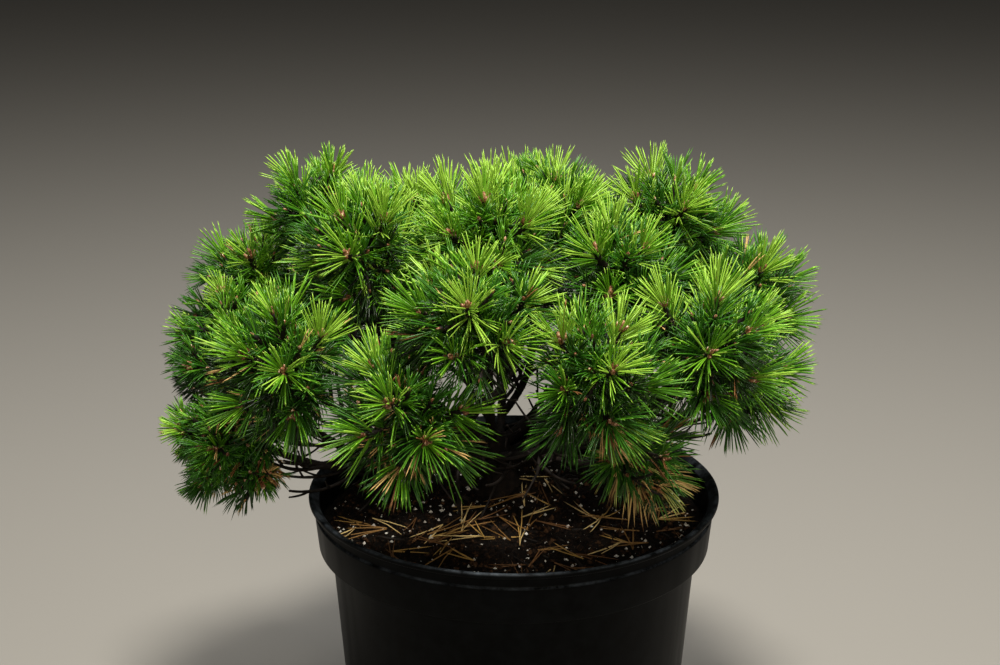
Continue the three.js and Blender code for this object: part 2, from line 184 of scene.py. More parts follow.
# Buds: one at each tip, with 2 to 5 smaller ones round it on a shoot. The profile is drawn from the foot
# to the point, as shares of the bud's length and radius.
bud = Sizes(
    length=9, radius=2.4, sunk=1.5, size=(0.9, 1.2), side_length=6.5, side_radius=2.0, side_open=0.5,
    side_out=2.1, side_size=(0.75, 1.15), side_count=(2, 6), turn_stir=0.4, fine=0.78, sides=6,
    uneven=(0.93, 1.07),
    profile=((0, 0.62), (0.22, 1.0), (0.3, 0.9), (0.52, 0.88), (0.6, 0.74), (0.85, 0.38)),
)

# Bare dead twigs under the crown, which leave the boughs at a slant and turn up
snag = Sizes(
    apart=13, uneven=0.3, first=0.2, last=0.95, shortest=25, longest=80, open_least=30, open_most=65,
    rise=0.7, root_radius=2.0, tip_radius=1.1, forks=2, fork_at=(0.35, 0.8), fork_stir=0.6,
    fork_length=34, fork_share=(0.5, 1), fork_sag=2, fork_thinner=0.7, tested_from=0.2, tests=5,
)

# The pot's mesh, and the drainage holes that only the scene has
pot_mesh = Sizes(sides=180, corner=1.3, corner_steps=4, most_of_side=0.45, sharp_angle=40)
drain = Sizes(count=6, radius=7, ring=116, sides=32)

# The soil's surface: a heap beside the trunk, a collar round it, and rolls, crumbs and grit by noise
soil_top = Sizes(
    rings=92, around=300, first_ring=0.02, crowding=0.9, settled=1.5, heap=9, heap_x=38, heap_width=22,
    collar=5, collar_width=26, roll=3.2, roll_size=26, crumb=2.6, crumb_size=4.2, crumb_layer=7,
    grit=1.5, grit_size=1.7, grit_layer=3,
)

# Lumps on the soil: count, least and most size, and how far over the soil the middle is, as a share of
# the size. Most are small.
lump_kinds = Sizes(crumbs=(5200, 0.6, 3.4, 0.35), perlite=(860, 0.28, 2.2, 0.5))
lump_shape = Sizes(size=(0.6, 1.25), stir=0.16, small_power=3)

# Fallen needles lie thickest in a band across the front of the soil, and beside the trunk's foot
litter = Sizes(
    pairs=78, room=26, everywhere=0.12, band=0.75, band_y=-55, band_slope=0.12, band_width=42, foot=0.5,
    foot_x=30, foot_y=-20, foot_width=45, spread=(0.04, 0.32), lift=(1.0, 4.5), length=(26, 46), curl=0.09,
    wall_room=4, shorter=0.55, tip_lift=(-0.5, 4), splay=0.04, bow=(-0.02, 0.05), width=(0.8, 1.35),
)
bits = Sizes(
    count=46, room=20, length=(7, 24), lift=1.2, rise=(-0.05, 0.2), kink=1.5, radius=(0.6, 1.5), sides=5,
)

# Camera: place in metres, tilt below level and roll in degrees, and field in pixels of the 1000 wide frame
camera = Sizes(y=-1.382, z=0.87, tilt=17.7, roll=0.4868, focal=1730, sensor=36, frame=1000)

# Lights: place and size in metres, power in watts and colour, all aimed at one point in the crown
LIGHTS = {
    "key": ((0.2, -0.75, 2.7), 0.6, 103, "#fffaf0"),
    "front": ((0.4, -2.5, 1.3), 1.1, 19, "#fff3dc"),
    "top": ((0.1, 0.5, 2.7), 1.4, 40, "#ffffff"),
    "side": ((2.3, -0.7, 1.4), 1.0, 6, "#ffffff"),
    "left": ((-2.4, -0.9, 0.9), 0.8, 4, "#ffffff"),
}
LIGHT_AIM = (0, 0, 0.42)
WORLD = Sizes(colour="#eeece6", strength=0.043)
FLOOR_REACH = 6

SEEDS = Sizes(
    sprays=1000, twigs=3000, bare_twigs=3500, buds=4000, limbs=5000, crumbs=6001, perlite=6002,
    litter=6100, twig_bits=6200,
)


def unit(vector):
    return vector / np.linalg.norm(vector, axis=-1, keepdims=True)


def lerp(first, last, share):
    return first + (last - first) * share


class SeededRandom:
    """The same run of numbers from 0 to 1 for the same seed, as the solids draw them."""

    def __init__(self, seed):
        self.state = seed & 0xFFFFFFFF

    def __call__(self):
        self.state = (self.state + 0x6D2B79F5) & 0xFFFFFFFF
        mixed = ((self.state ^ (self.state >> 15)) * (1 | self.state)) & 0xFFFFFFFF
        stirred = ((mixed ^ (mixed >> 7)) * (61 | mixed)) & 0xFFFFFFFF
        mixed = ((mixed + stirred) & 0xFFFFFFFF) ^ mixed
        return (mixed ^ (mixed >> 14)) / 4294967296


class Curve:
    """A Bezier curve that is read by the share of its length."""

    count = 200
    nudge = 0.01

    def __init__(self, *points):
        self.points = np.array(points, float)
        self.steps = np.linspace(0, 1, self.count + 1)
        hops = np.linalg.norm(np.diff(self.bezier(self.steps), axis=0), axis=1)
        self.lengths = np.concatenate([[0], np.cumsum(hops)])
        self.length = self.lengths[-1]

    def bezier(self, step):
        step = np.asarray(step, float)[..., None]
        places = [np.broadcast_to(point, step.shape[:-1] + (3,)) for point in self.points]
        while len(places) > 1:
            places = [lerp(a, b, step) for a, b in zip(places, places[1:])]
        return places[0]

    def at(self, share):
        return self.bezier(np.interp(np.asarray(share) * self.length, self.lengths, self.steps))

    def way(self, share):
        share = np.asarray(share, float)
        return unit(self.at(np.minimum(share + self.nudge, 1)) - self.at(np.maximum(share - self.nudge, 0)))


def turned_from_up(vectors, outward):
    """The vectors turned by the shortest turn that takes up to outward."""
    axis = np.cross(UP, outward)
    scale = 1 / (1 + UP @ outward)
    return (
        vectors * (UP @ outward)
        + np.cross(axis, vectors)
        + axis * (vectors @ axis)[..., None] * scale
    )


def vector_across(axis, turn):
    """A vector across an axis, at an angle round it."""
    around = turned_from_up(SIDEWAYS, axis)
    return around * math.cos(turn) + np.cross(axis, around) * math.sin(turn)


def leaning(axis, turn, opening):
    """A vector that leans from an axis by an opening in degrees."""
    lean = math.radians(opening)
    return axis * math.cos(lean) + vector_across(axis, turn) * math.sin(lean)


# The rule that settles limbs and shoots


def trunk_curve():
    foot = np.array([trunk.foot_x, trunk.foot_y, soil.level + GAP])
    fork = foot + [trunk.lean_x, trunk.lean_y, trunk.height]
    return Curve(foot, foot + UP * trunk.height / 2, fork)


def trunk_radius(share, angle):
    fade = np.exp(-trunk.flare_fade * share)
    lobes = 1 + trunk.lobe_depth * fade * np.cos(trunk.root_lobes * angle)
    return (lerp(trunk.foot_radius, trunk.fork_radius, share) + trunk.flare * fade) * lobes


def carried_by(name):
    return 1 + sum(carried_by(row[0]) for row in MASSES if row[5] == name)


def bough_radius(name):
    root = bough.root_radius + bough.per_mass * (carried_by(name) - 1)
    return lambda share, angle: lerp(root, bough.tip_radius, share ** bough.thinning) + 0 * angle


def settle_mass(row, index):
    name, bearing, reach, height, radius, parent, at = row
    turn = math.radians(bearing)
    centre = np.array([reach * math.cos(turn), reach * math.sin(turn), height])
    return Sizes(
        name=name, index=index, centre=centre, radius=radius, parent=parent, at=at,
        outward=unit(centre - HEART), scale=FINER.get(name, 1),
    )


def room_in_cell(mass, point, crown):
    """How far a point is inside a mass's ball and off the planes that it shares with others."""
    others = [other for other in crown if other is not mass]
    centres = np.array([other.centre for other in others])
    radii = np.array([other.radius for other in others])
    apart = np.linalg.norm(centres - mass.centre, axis=1)
    own = np.sum((point - mass.centre) ** 2) - mass.radius ** 2
    theirs = np.sum((point - centres) ** 2, axis=1) - radii ** 2
    planes = (theirs - own) / (2 * apart)
    return min(mass.radius - np.linalg.norm(point - mass.centre), planes.min())


def in_pot(points):
    points = np.asarray(points)
    radius = np.hypot(points[..., 0], points[..., 1])
    over_soil = radius < pot.collar_radius - pot.wall - clear.pot
    top = np.where(over_soil, soil.level, pot.height)
    return (radius < pot.lip_radius + clear.pot) & (points[..., 2] < top + clear.pot)


def settle_bough(mass, parent_curve, crown):
    start = parent_curve.at(mass.at)
    away = mass.centre - start
    level = unit(away * [1, 1, 0])
    steep = away[2] / np.linalg.norm(away)
    mass.stem_way = unit(
        level * (1 - steep * bough.tip_flatten) + UP * (bough.tip_lift + steep * bough.tip_climb)
    )
    share = bough.foot_share + bough.foot_step
    while True:
        share -= bough.foot_step
        mass.foot = mass.centre - mass.stem_way * share * mass.radius
        roomy = room_in_cell(mass, mass.foot, crown) >= bough.foot_room
        if roomy or share <= 2 * bough.foot_step:
            break
    tip = mass.foot - mass.stem_way * GAP
    length = np.linalg.norm(tip - start)
    first = start + level * bough.level_share * length + UP * bough.climb_share * steep * length
    last = tip - mass.stem_way * bough.climb_share * length
    return Curve(start, first, last, tip)


def limb_beads(curve, radius_at):
    count = math.ceil(curve.length / BEAD_STEP)
    shares = np.arange(count + 1) / count
    return curve.at(shares), radius_at(shares, 0 * shares)


class FreeSpace:
    """Tests whether a point of some thickness is in a mass's space and off the limbs and pot."""

    def __init__(self, crown, limbs):
        beads = [limb_beads(limb.curve, limb.radius_at) for limb in limbs]
        self.crown = crown
        self.points = np.concatenate([points for points, _ in beads])
        self.radii = np.concatenate([radii for _, radii in beads])

    def off_limbs(self, point, thickness):
        apart = np.linalg.norm(self.points - point, axis=1)
        return not np.any(apart < self.radii + thickness + clear.limb)

    def is_free(self, mass, point, thickness):
        return (
            room_in_cell(mass, point, self.crown) > thickness + clear.cell
            and not in_pot(point)
            and self.off_limbs(point, thickness)
        )


def stem_end(mass):
    return mass.centre + mass.stem_way * stem.past_middle * mass.radius


def propose_shoot(mass, i, random):
    height = 1 - (shoot.cover * (i + 0.5)) / shoot.tries
    ring = math.sqrt(1 - height * height)
    turn = i * GOLDEN + shoot.stir * random()
    way = turned_from_up(np.array([ring * math.cos(turn), ring * math.sin(turn), height]), mass.outward)
    depth = mass.radius * (1 - shoot.depth_share) + shoot.uneven * (random() - 0.5)
    tip = mass.centre + way * depth
    grow = unit(way + UP * shoot.rise + mass.outward * shoot.outward)
    middle = tip - grow * shoot.core_length / 2
    chord = stem_end(mass) - mass.foot
    along = (tip - mass.foot) @ chord / (chord @ chord)
    leave = min(max(along - shoot.leave_before, shoot.leave_first), shoot.leave_last)
    return Sizes(mass=mass, tip=tip, grow=grow, middle=middle, root=mass.foot + chord * leave)


def find_shoots(mass, space, taken):
    random = SeededRandom(shoot.seed * (mass.index + 1))
    shoots = []
    for i in range(shoot.tries):
        tried = propose_shoot(mass, i, random)
        stalk = [lerp(tried.root, tried.middle, share) for share in shoot.stalk_tests]
        fits = (
            all(np.linalg.norm(other - tried.tip) > shoot.spacing for other in taken)
            and room_in_cell(mass, tried.tip, space.crown) > shoot.cell_margin
            and space.is_free(mass, tried.tip, shoot.core_radius)
            and space.is_free(mass, tried.middle, shoot.core_radius)
            and all(space.is_free(mass, point, shoot.stalk_radius) for point in stalk)
        )
        if fits:
            taken.append(tried.tip)
            shoots.append(tried)
    return shoots


def shoot_line(root, leave_way, tip, grow):
    """A twig that leaves its stem at a slant and turns to the way that it grows."""
    length = np.linalg.norm(tip - root)
    first = root + leave_way * twig.root_pull * length
    last = tip - grow * twig.tip_pull * length
    return Curve(root, first, last, tip)


def find_side_shoots(mass, space, taken):
    """Finer twigs off the stalks of a mass's shoots, where there is still room for a spray."""
    random = SeededRandom(side.seed * (mass.index + 1))
    reach = mass.radius * (1 - shoot.depth_share) + side.above + (1 - mass.scale) * needle.longest
    found = []
    for cycle in range(round(side.per_shoot / mass.scale ** 2)):
        for parent in mass.shoots:
            share = lerp(side.first, side.last, random())
            root, axis = parent.line.at(share), parent.line.way(share)
            turn = GOLDEN * (cycle * len(mass.shoots) + len(found)) + FULL_TURN * random()
            leave_way = leaning(axis, turn, lerp(side.open_least, side.open_most, random()))
            grow = unit(leave_way + UP * side.rise + mass.outward * shoot.outward)
            tip = root + unit(leave_way + grow) * lerp(side.shortest, side.longest, random())
            fits = (
                np.linalg.norm(tip - mass.centre) < reach
                and all(np.linalg.norm(other - tip) > side.spacing * mass.scale for other in taken)
                and space.is_free(mass, tip, side.room)
            )
            if fits:
                taken.append(tip)
                line = shoot_line(root, leave_way, tip, grow)
                found.append(Sizes(mass=mass, tip=tip, grow=grow, line=line))
    return found


def grow_crown():
    """The limbs, and each mass with its stem, shoots and side shoots."""
    crown = [settle_mass(row, index) for index, row in enumerate(MASSES)]
    limbs = [Sizes(name="trunk", curve=trunk_curve(), radius_at=trunk_radius)]
    curves = {"trunk": limbs[0].curve}
    for mass in crown:
        curves[mass.name] = settle_bough(mass, curves[mass.parent], crown)
        limbs.append(Sizes(name=mass.name, curve=curves[mass.name], radius_at=bough_radius(mass.name)))
    space = FreeSpace(crown, limbs)
    taken = []
    for mass in crown:
        mass.shoots = find_shoots(mass, space, taken)
        for own in mass.shoots:
            own.tip = own.tip + own.grow * ((1 - mass.scale) * needle.longest)
            leave_way = unit(mass.stem_way + unit(own.middle - own.root))
            own.line = shoot_line(own.root, leave_way, own.tip, own.grow)
    for mass in crown:
        mass.side_shoots = find_side_shoots(mass, space, taken)
    return crown, limbs, space


# Meshes


def add_mesh(name, points, faces, materials, material_index=None, smooth=True):
    """A mesh from points in millimetres and faces of equal size."""
    points = np.asarray(points, np.float32) * MM
    faces = np.asarray(faces, np.int32)
    mesh = bpy.data.meshes.new(name)
    mesh.vertices.add(len(points))
    mesh.vertices.foreach_set("co", points.ravel())
    mesh.loops.add(faces.size)
    mesh.loops.foreach_set("vertex_index", faces.ravel())
    mesh.polygons.add(len(faces))
    mesh.polygons.foreach_set("loop_start", np.arange(0, faces.size, faces.shape[1], dtype=np.int32))
    mesh.update(calc_edges=True)
    for material in materials:
        mesh.materials.append(material)
    if material_index is not None:
        mesh.polygons.foreach_set("material_index", np.asarray(material_index, np.int32))
    mesh.polygons.foreach_set("use_smooth", np.full(len(faces), smooth))
    mesh.validate()
    return add_object(name, mesh)


def add_object(name, data):
    added = bpy.data.objects.new(name, data)
    bpy.context.scene.collection.objects.link(added)
    return added


def place(piece, slot, *nodes):
    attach(piece, "root")
    if nodes:
        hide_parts(*nodes)


def joined(parts):
    """Several (points, faces) as one."""
    points, faces, start = [], [], 0
    for part_points, part_faces in parts:
        points.append(part_points)
        faces.append(part_faces + start)
        start += len(part_points)
    return np.concatenate(points), np.concatenate(faces)


def quads_between(rings, sides):
    """The corners of the four-sided faces between neighbouring rings of points."""
    i, j = np.divmod(np.arange((rings - 1) * sides), sides)
    a, b = i * sides + j, i * sides + (j + 1) % sides
    return np.stack([a, b, b + sides, a + sides], 1)


def triangles_between(rings, sides):
    quads = quads_between(rings, sides)
    return np.concatenate([quads[:, (0, 1, 2)], quads[:, (0, 2, 3)]])


def fan(first, sides, apex):
    """Triangles from a ring of points, given by its first one, to one more point."""
    j = np.arange(sides)
    return np.stack([first + j, first + (j + 1) % sides, np.full(sides, apex)], 1)


def capped(rings, foot, end):
    """A closed skin of triangles over rings of points, from the point foot to the point end."""
    count, sides = rings.shape[:2]
    points = np.concatenate([rings.reshape(-1, 3), [foot, end]])
    faces = np.concatenate([
        triangles_between(count, sides),
        fan(0, sides, count * sides)[:, ::-1],
        fan((count - 1) * sides, sides, count * sides + 1),
    ])
    return points, faces


def turns_round(sides):
    return np.arange(sides) * FULL_TURN / sides


def frames_along(places):
    """Ways along a line of points, with two vectors across each that don't twist."""
    nearly_upright = 0.9
    ways = unit(np.gradient(places, axis=0))
    first = np.zeros_like(ways)
    first[0] = unit(np.cross(ways[0], UP if abs(ways[0][2]) < nearly_upright else SIDEWAYS))
    for i in range(1, len(ways)):
        first[i] = unit(first[i - 1] - ways[i] * (first[i - 1] @ ways[i]))
    return ways, first, np.cross(ways, first)


def tube(places, radii, sides):
    """A closed tube along places. radii is one for all, or one for each place and side."""
    foot_cap, end_cap = 0.2, 0.5
    ways, first, second = frames_along(places)
    turns = turns_round(sides)[None, :, None]
    radii = np.broadcast_to(radii, (len(places), sides))
    ring = first[:, None, :] * np.cos(turns) + second[:, None, :] * np.sin(turns)
    rings = places[:, None, :] + ring * radii[:, :, None]
    return capped(rings, places[0] - ways[0] * foot_cap, places[-1] + ways[-1] * radii.min() * end_cap)


def scale_relief(along, angle, radius, scales, rng):
    """Height from 0 to 1 of bark scales that lean to the limb's tip, row by row."""
    rows = int(along.max() / scales.row_step) + 2
    columns = max(bark.least_columns, round(FULL_TURN * radius / scales.width))
    lift = rng.uniform(bark.least_lift, 1, (rows, columns))
    row = np.floor(along / scales.row_step).astype(int)
    lean = along / scales.row_step - row
    column = angle / FULL_TURN * columns + 0.5 * (row % 2) + bark.row_wave * np.sin(row)
    cell = np.floor(column).astype(int)
    aside = column - cell - 0.5
    return lift[row, cell % columns] * lean ** bark.lean_power * np.cos(math.pi * aside) ** 2


def bark_limb(limb, scales, rng):
    """A limb with the bark's relief standing on it."""
    count = max(bark.least_steps, math.ceil(limb.curve.length / scales.step))
    shares = np.linspace(0, 1, count + 1)
    turns = turns_round(scales.sides)
    plain = limb.radius_at(shares[:, None], turns[None, :])
    along = np.broadcast_to(shares[:, None] * limb.curve.length, plain.shape)
    around = np.broadcast_to(turns[None, :], plain.shape)
    relief = scale_relief(along, around, plain.mean(), scales, rng)
    places = limb.curve.at(shares)
    swell = np.array([noise.noise(Vector(place_on * bark.swell_size)) for place_on in places])[:, None]
    radii = plain * (bark.thinner + bark.swell * swell) + scales.depth * (relief - bark.sunk)
    return tube(places, radii, scales.sides)


def stubs_along(line, last, count, radius, size, rng):
    """Short pegs that dropped needles leave on a twig: three-sided, leaning to its tip."""
    shares = rng.uniform(stub.first, last, count)
    places, ways = line.at(shares), line.way(shares)
    aside = unit(np.cross(ways, rng.normal(size=(count, 3))))
    lean = unit(aside + ways * stub.lean)
    half = np.cross(ways, aside) * stub.half_width
    foot = places + aside * radius * stub.sunk
    length = size * rng.uniform(*stub.uneven, count)[:, None]
    corners = [foot - ways * stub.behind, foot + half, foot - half, foot + lean * length]
    starts = 4 * np.arange(count)[:, None]
    faces = np.concatenate([starts + corner for corner in ((0, 1, 3), (1, 2, 3), (2, 0, 3), (0, 2, 1))])
    return np.stack(corners, 1).reshape(-1, 3), faces


# Needles


def needle_shapes(needles, rings):
    """Slim three-sided needles with a bend, as one mesh. rings are the shares of length and size of
    each section, and the last one closes to a point. Gives points, faces, and each face's needle and
    whether it is at the needle's tip."""
    count = len(needles.length)
    length = needles.length[:, None]
    wide = unit(np.cross(needles.way, needles.ref))
    high = np.cross(needles.way, wide)
    points = []
    for share, size in rings:
        middle = needles.root + needles.way * length * share + needles.bend * length * share ** 2
        for x, y in NEEDLE_SECTION:
            points.append(
                middle
                + wide * (x * size * needles.width)[:, None]
                + high * (y * size * needle.thickness)
            )
    points.append(needles.root + (needles.way + needles.bend) * length)
    sides = len(NEEDLE_SECTION)
    tip = len(points) - 1
    faces = np.concatenate([triangles_between(len(rings), sides), fan(tip - sides, sides, tip)])
    starts = len(points) * np.arange(count)[:, None, None]
    owner = np.repeat(np.arange(count), len(faces))
    at_tip = np.tile(np.arange(len(faces)) >= len(faces) - sides, count)
    return np.stack(points, 1).reshape(-1, 3), (faces[None] + starts).reshape(-1, 3), owner, at_tip


def pairs_along(line, down, low_open, rng):
    """Needle pairs at given lengths down from a twig's tip: their roots and ways, the twig's own way
    at each, and how far each is down the stretch where they open, from 0 to 1."""
    count = len(down)
    share = np.clip(1 - down / line.length, needle.least_share, 1)
    axis = line.way(share)
    start = unit(np.cross(line.way(1.0), ASKEW))
    around = unit(start - axis * (axis @ start)[:, None])
    turn = GOLDEN * np.arange(count) + rng.normal(0, needle.turn_stir, count) + rng.uniform(0, FULL_TURN)
    aside = around * np.cos(turn)[:, None] + np.cross(axis, around) * np.sin(turn)[:, None]
    fallen = np.clip(down / needle.open_over, 0, 1) ** needle.open_power
    opening = lerp(needle.tip_open, low_open, fallen) + rng.normal(0, needle.open_stir, count)
    opening = np.radians(opening)[:, None]
    way = unit(axis * np.cos(opening) + aside * np.sin(opening))
    return line.at(share) + aside * needle.root_out, way, axis, fallen


def grow_pairs(own, down, tint, vigour, rng, low_open=needle.low_open):
    """The needles of one spray, two to a pair, with a tint for each."""
    count = len(down)
    scale = own.mass.scale
    root, way, axis, fallen = pairs_along(own.line, down, low_open, rng)
    low = min(max((needle.droop_below - own.tip[2]) / needle.droop_over, 0), 1)
    length = rng.uniform(needle.shortest, needle.longest, count) * vigour * scale
    length = length * lerp(1, needle.old_length, fallen)
    sag = lerp(needle.sag, needle.droop, low) * (1 + fallen[:, None])
    bend = axis * needle.incurve * rng.uniform(*needle.incurve_range, (count, 1)) - UP * sag
    lean = unit(np.cross(way, rng.normal(size=way.shape))) * needle.pair_spread
    two = Sizes(
        root=np.repeat(root, 2, 0),
        way=unit(np.stack([way + lean, way - lean], 1).reshape(-1, 3)),
        bend=np.repeat(bend, 2, 0) + rng.normal(0, needle.twin_bend, (2 * count, 3)),
        length=np.repeat(length, 2) * rng.uniform(*needle.twin_length, 2 * count),
        width=needle.width * math.sqrt(scale) * rng.uniform(*needle.twin_width, 2 * count),
        ref=rng.normal(size=(2 * count, 3)),
        tint=np.repeat(tint, 2),
    )
    return kept_in_reach(two, own.mass)


def point_on(needles, share):
    return needles.root + (needles.way + needles.bend * share) * (needles.length * share)[:, None]


def kept_in_reach(needles, mass):
    """Needles end where their mass's ball ends, and keep out of the pot and soil."""
    from_middle = needles.root - mass.centre
    facing = np.sum(from_middle * needles.way, 1)
    under_root = np.maximum(facing ** 2 - np.sum(from_middle ** 2, 1) + mass.radius ** 2, 0)
    needles.length = np.minimum(needles.length, np.sqrt(under_root) - facing)
    for share, cut in POT_CUTS:
        needles.length = np.where(in_pot(point_on(needles, share)), needles.length * cut, needles.length)
    return kept(needles, needles.length > needle.least)


def kept(needles, mask):
    return Sizes(**{key: value[mask] for key, value in vars(needles).items()})


def gathered(sprays):
    return Sizes(**{key: np.concatenate([getattr(one, key) for one in sprays]) for key in vars(sprays[0])})


def off_limbs(needles, space):
    """Leaves out needles that would run through a limb."""
    tree = KDTree(len(space.points))
    for i, point in enumerate(space.points):
        tree.insert(point, i)
    tree.balance()
    mask = np.ones(len(needles.length), bool)
    for share in LIMB_TESTS:
        for i, point in enumerate(point_on(needles, share)):
            if mask[i]:
                _, nearest, distance = tree.find(point)
                mask[i] = distance > space.radii[nearest]
    return kept(needles, mask)


# Tints from the shade inside to the sunlit top, then three that stand apart: pale and two dead
GREENS = ["#0d1a04", "#152806", "#1d3b09", "#25500d", "#326713", "#487d14", "#63991d", "#92bc3e"]
OTHERS = {"pale": "#c2c870", "straw": "#c6a468", "rust": "#8a5e36"}
PALE, STRAW, RUST = range(len(GREENS), len(GREENS) + len(OTHERS))

# How a green is picked, with light and shade painted in: higher up and the more a spray faces up it is
# painted brighter, and it varies by spray and by pair. Low in the crown the sprays in front are painted
# lighter than those in shade, and down each spray from its tip the needles get painted shade.
tone = Sizes(
    from_height=330, height_span=240, by_height=0.37, by_way=0.34, least=0.12, base=0.32, by_spray=0.1,
    by_pair=0.62, at_tip=0.8, down_spray=2.2, low_start=1.5, low_least=0.05, low_most=1.6,
    low_contrast=0.55, middle_shade=0.14,
)

# Masses whose needles are painted darker, as in shade, than the rule makes them, by how much, and one
# painted lighter
SHADED = {
    "far_left": -0.11, "left_shoulder": -0.08, "left_low": 0.06, "left_peak": -0.1, "left_crest": -0.03,
    "right_peak": -0.09, "right_shoulder": -0.07, "far_right": -0.08, "right_front": -0.07,
    "right_crest": -0.07, "front_right": -0.03,
}

# Share of dead pairs among the needles of a mass that is low down, and of wholly dead side sprays there
DEAD_PAIRS = {"front_left": 0.03, "left_low": 0.02, "front_hanging": 0.03, "left_front": 0.015}
DEAD_SPRAYS = {
    "left_front": 0.1, "left_low": 0.08, "front_left": 0.1, "front_right": 0.06, "front_hanging": 0.05,
}
dead = Sizes(usual_pairs=0.006, in_shade=6, below=420, straw=0.6)

# The lowest spray of this mass is yellowed
fading = Sizes(mass="front_hanging", pale=0.42, straw=0.3)


def dead_tints(count, rng):
    return np.where(rng.random(count) < dead.straw, STRAW, RUST)


def tints_for(own, down, rng, shade=0.0):
    """A tint for each pair of a spray, with light and shade painted in: brighter high up, outside and at the
    tip, with some dead low down.
    """
    count = len(down)
    if own.dead:
        return dead_tints(count, rng)
    height = (own.tip[2] - tone.from_height) / tone.height_span
    low = np.clip(tone.low_start - tone.low_start * height, tone.low_least, tone.low_most)
    # Painted light: higher up and facing up is lighter, and shade makes it darker
    lit = max(tone.by_height * height + tone.by_way * own.grow[2], tone.least) + tone.base - shade
    lit += rng.normal(0, tone.by_spray)
    # Low in the crown, painted light on the sprays outside and painted shade on those inside
    lit += tone.low_contrast * low * (tone.middle_shade - shade)
    lit += SHADED.get(own.mass.name, 0)
    whole = lit * (len(GREENS) - 1) + rng.normal(0, tone.by_pair, count)
    # Painted shade: the pairs get darker down the spray from its tip
    whole += tone.at_tip - tone.down_spray * down / spray.length
    tint = np.clip(np.rint(whole), 0, len(GREENS) - 1).astype(int)
    dead_share = DEAD_PAIRS.get(own.mass.name, dead.usual_pairs) * low * (1 + dead.in_shade * shade)
    is_dead = rng.random(count) < dead_share
    tint[is_dead] = dead_tints(is_dead.sum(), rng)
    if own.fading:
        is_pale = rng.random(count) < fading.pale
        tint = np.where(is_pale, PALE, np.where(rng.random(count) < fading.straw, STRAW, tint))
    return tint


def spread_down(pairs, fullness, length, rng):
    """Lengths down from a twig's tip for about so many pairs, closest together at the tip."""
    count = round(pairs * rng.uniform(*fullness))
    return np.sort(length * rng.random(count) ** spray.gather)


def sprays_of(mass):
    """A mass's needles: fine ones at its shoots' tips, and plain ones further down and on side shoots."""
    rng = np.random.default_rng(SEEDS.sprays + mass.index)
    side_shade = side.fine_shade if mass.name in FINER else side.shade
    lowest = min(mass.shoots, key=lambda own: own.tip[2])
    for own in mass.shoots + mass.side_shoots:
        own.fading = mass.name == fading.mass and own is lowest
        own.dead = False
    for own in mass.side_shoots:
        own.dead = own.tip[2] < dead.below and rng.random() < DEAD_SPRAYS.get(mass.name, 0)
    fine, plain = [], []
    for own in mass.shoots:
        vigour = rng.uniform(*spray.vigour)
        down = spread_down(spray.pairs, spray.fullness, spray.length, rng)
        fine.append(grow_pairs(own, down, tints_for(own, down, rng), vigour, rng))
        if own.line.length > spray.length:
            first, last = spray.length * spray.old_first, own.line.length * spray.old_last
            down = rng.uniform(first, last, spray.old_pairs)
            tint = tints_for(own, down, rng, spray.old_shade)
            plain.append(grow_pairs(own, down, tint, spray.old_vigour, rng, spray.old_open))
    for own in mass.side_shoots:
        down = spread_down(spray.side_pairs, spray.side_fullness, spray.side_length, rng)
        tint = tints_for(own, down, rng, side_shade)
        plain.append(grow_pairs(own, down, tint, rng.uniform(*spray.side_vigour), rng))
    return gathered(fine), gathered(plain)


def add_sprays(mass, space, materials):
    parts, tints = [], []
    for needles, rings in zip(sprays_of(mass), (FINE_RINGS, PLAIN_RINGS)):
        needles = off_limbs(needles, space)
        points, faces, owner, at_tip = needle_shapes(needles, rings)
        parts.append((points, faces))
        tint = needles.tint[owner]
        # Fine needles' tip faces take the next lighter green: their pale point, and a painted highlight
        pale_tip_and_highlight = np.where(tint < len(GREENS), np.minimum(tint + 1, len(GREENS) - 1), tint)
        tints.append(np.where(at_tip & (rings is FINE_RINGS), pale_tip_and_highlight, tint))
    piece = add_mesh(f"sprays_{mass.name}", *joined(parts), materials, np.concatenate(tints))
    place(piece, "needles", f"needles_{mass.name}")


# Twigs, buds and limbs


def rough_twig(line, root_radius, tip_radius, rng, sides=twig.sides, step=twig.step):
    count = max(twig.least_steps, math.ceil(line.length / step))
    plain = np.linspace(root_radius, tip_radius, count + 1)[:, None]
    rough = plain * rng.uniform(*twig.rough, (count + 1, sides))
    return tube(line.at(np.linspace(0, 1, count + 1)), plain + rough, sides)


def fine_twig(line, root_radius, tip_radius, rng):
    return rough_twig(line, root_radius, tip_radius, rng, twig.side_sides, twig.side_step)


def add_twigs(crown, material, stub_look):
    """The stems and twigs inside the masses, with the pegs on them."""
    twigs, stubs = [], []
    for mass in crown:
        rng = np.random.default_rng(SEEDS.twigs + mass.index)
        line = Curve(mass.foot - mass.stem_way * GAP, mass.foot, stem_end(mass))
        twigs.append(rough_twig(line, bough.tip_radius, stem.tip_radius, rng))
        for own in mass.shoots:
            twigs.append(rough_twig(own.line, twig.root_radius, twig.tip_radius, rng))
            stubs.append(stubs_along(own.line, stub.last, stub.per_shoot, twig.tip_radius, stub.length, rng))
        for own in mass.side_shoots:
            radius, size = twig.side_tip_radius, stub.side_length
            twigs.append(fine_twig(own.line, twig.side_root_radius, radius, rng))
            stubs.append(stubs_along(own.line, stub.side_last, stub.per_side_shoot, radius, size, rng))
    half = len(twigs) // 2
    place(add_mesh("twigs_front", *joined(twigs[:half]), [material]), "bark")
    place(add_mesh("twigs_back", *joined(twigs[half:]), [material]), "bark")
    place(add_mesh("twig_stubs", *joined(stubs), [stub_look]), "bark")


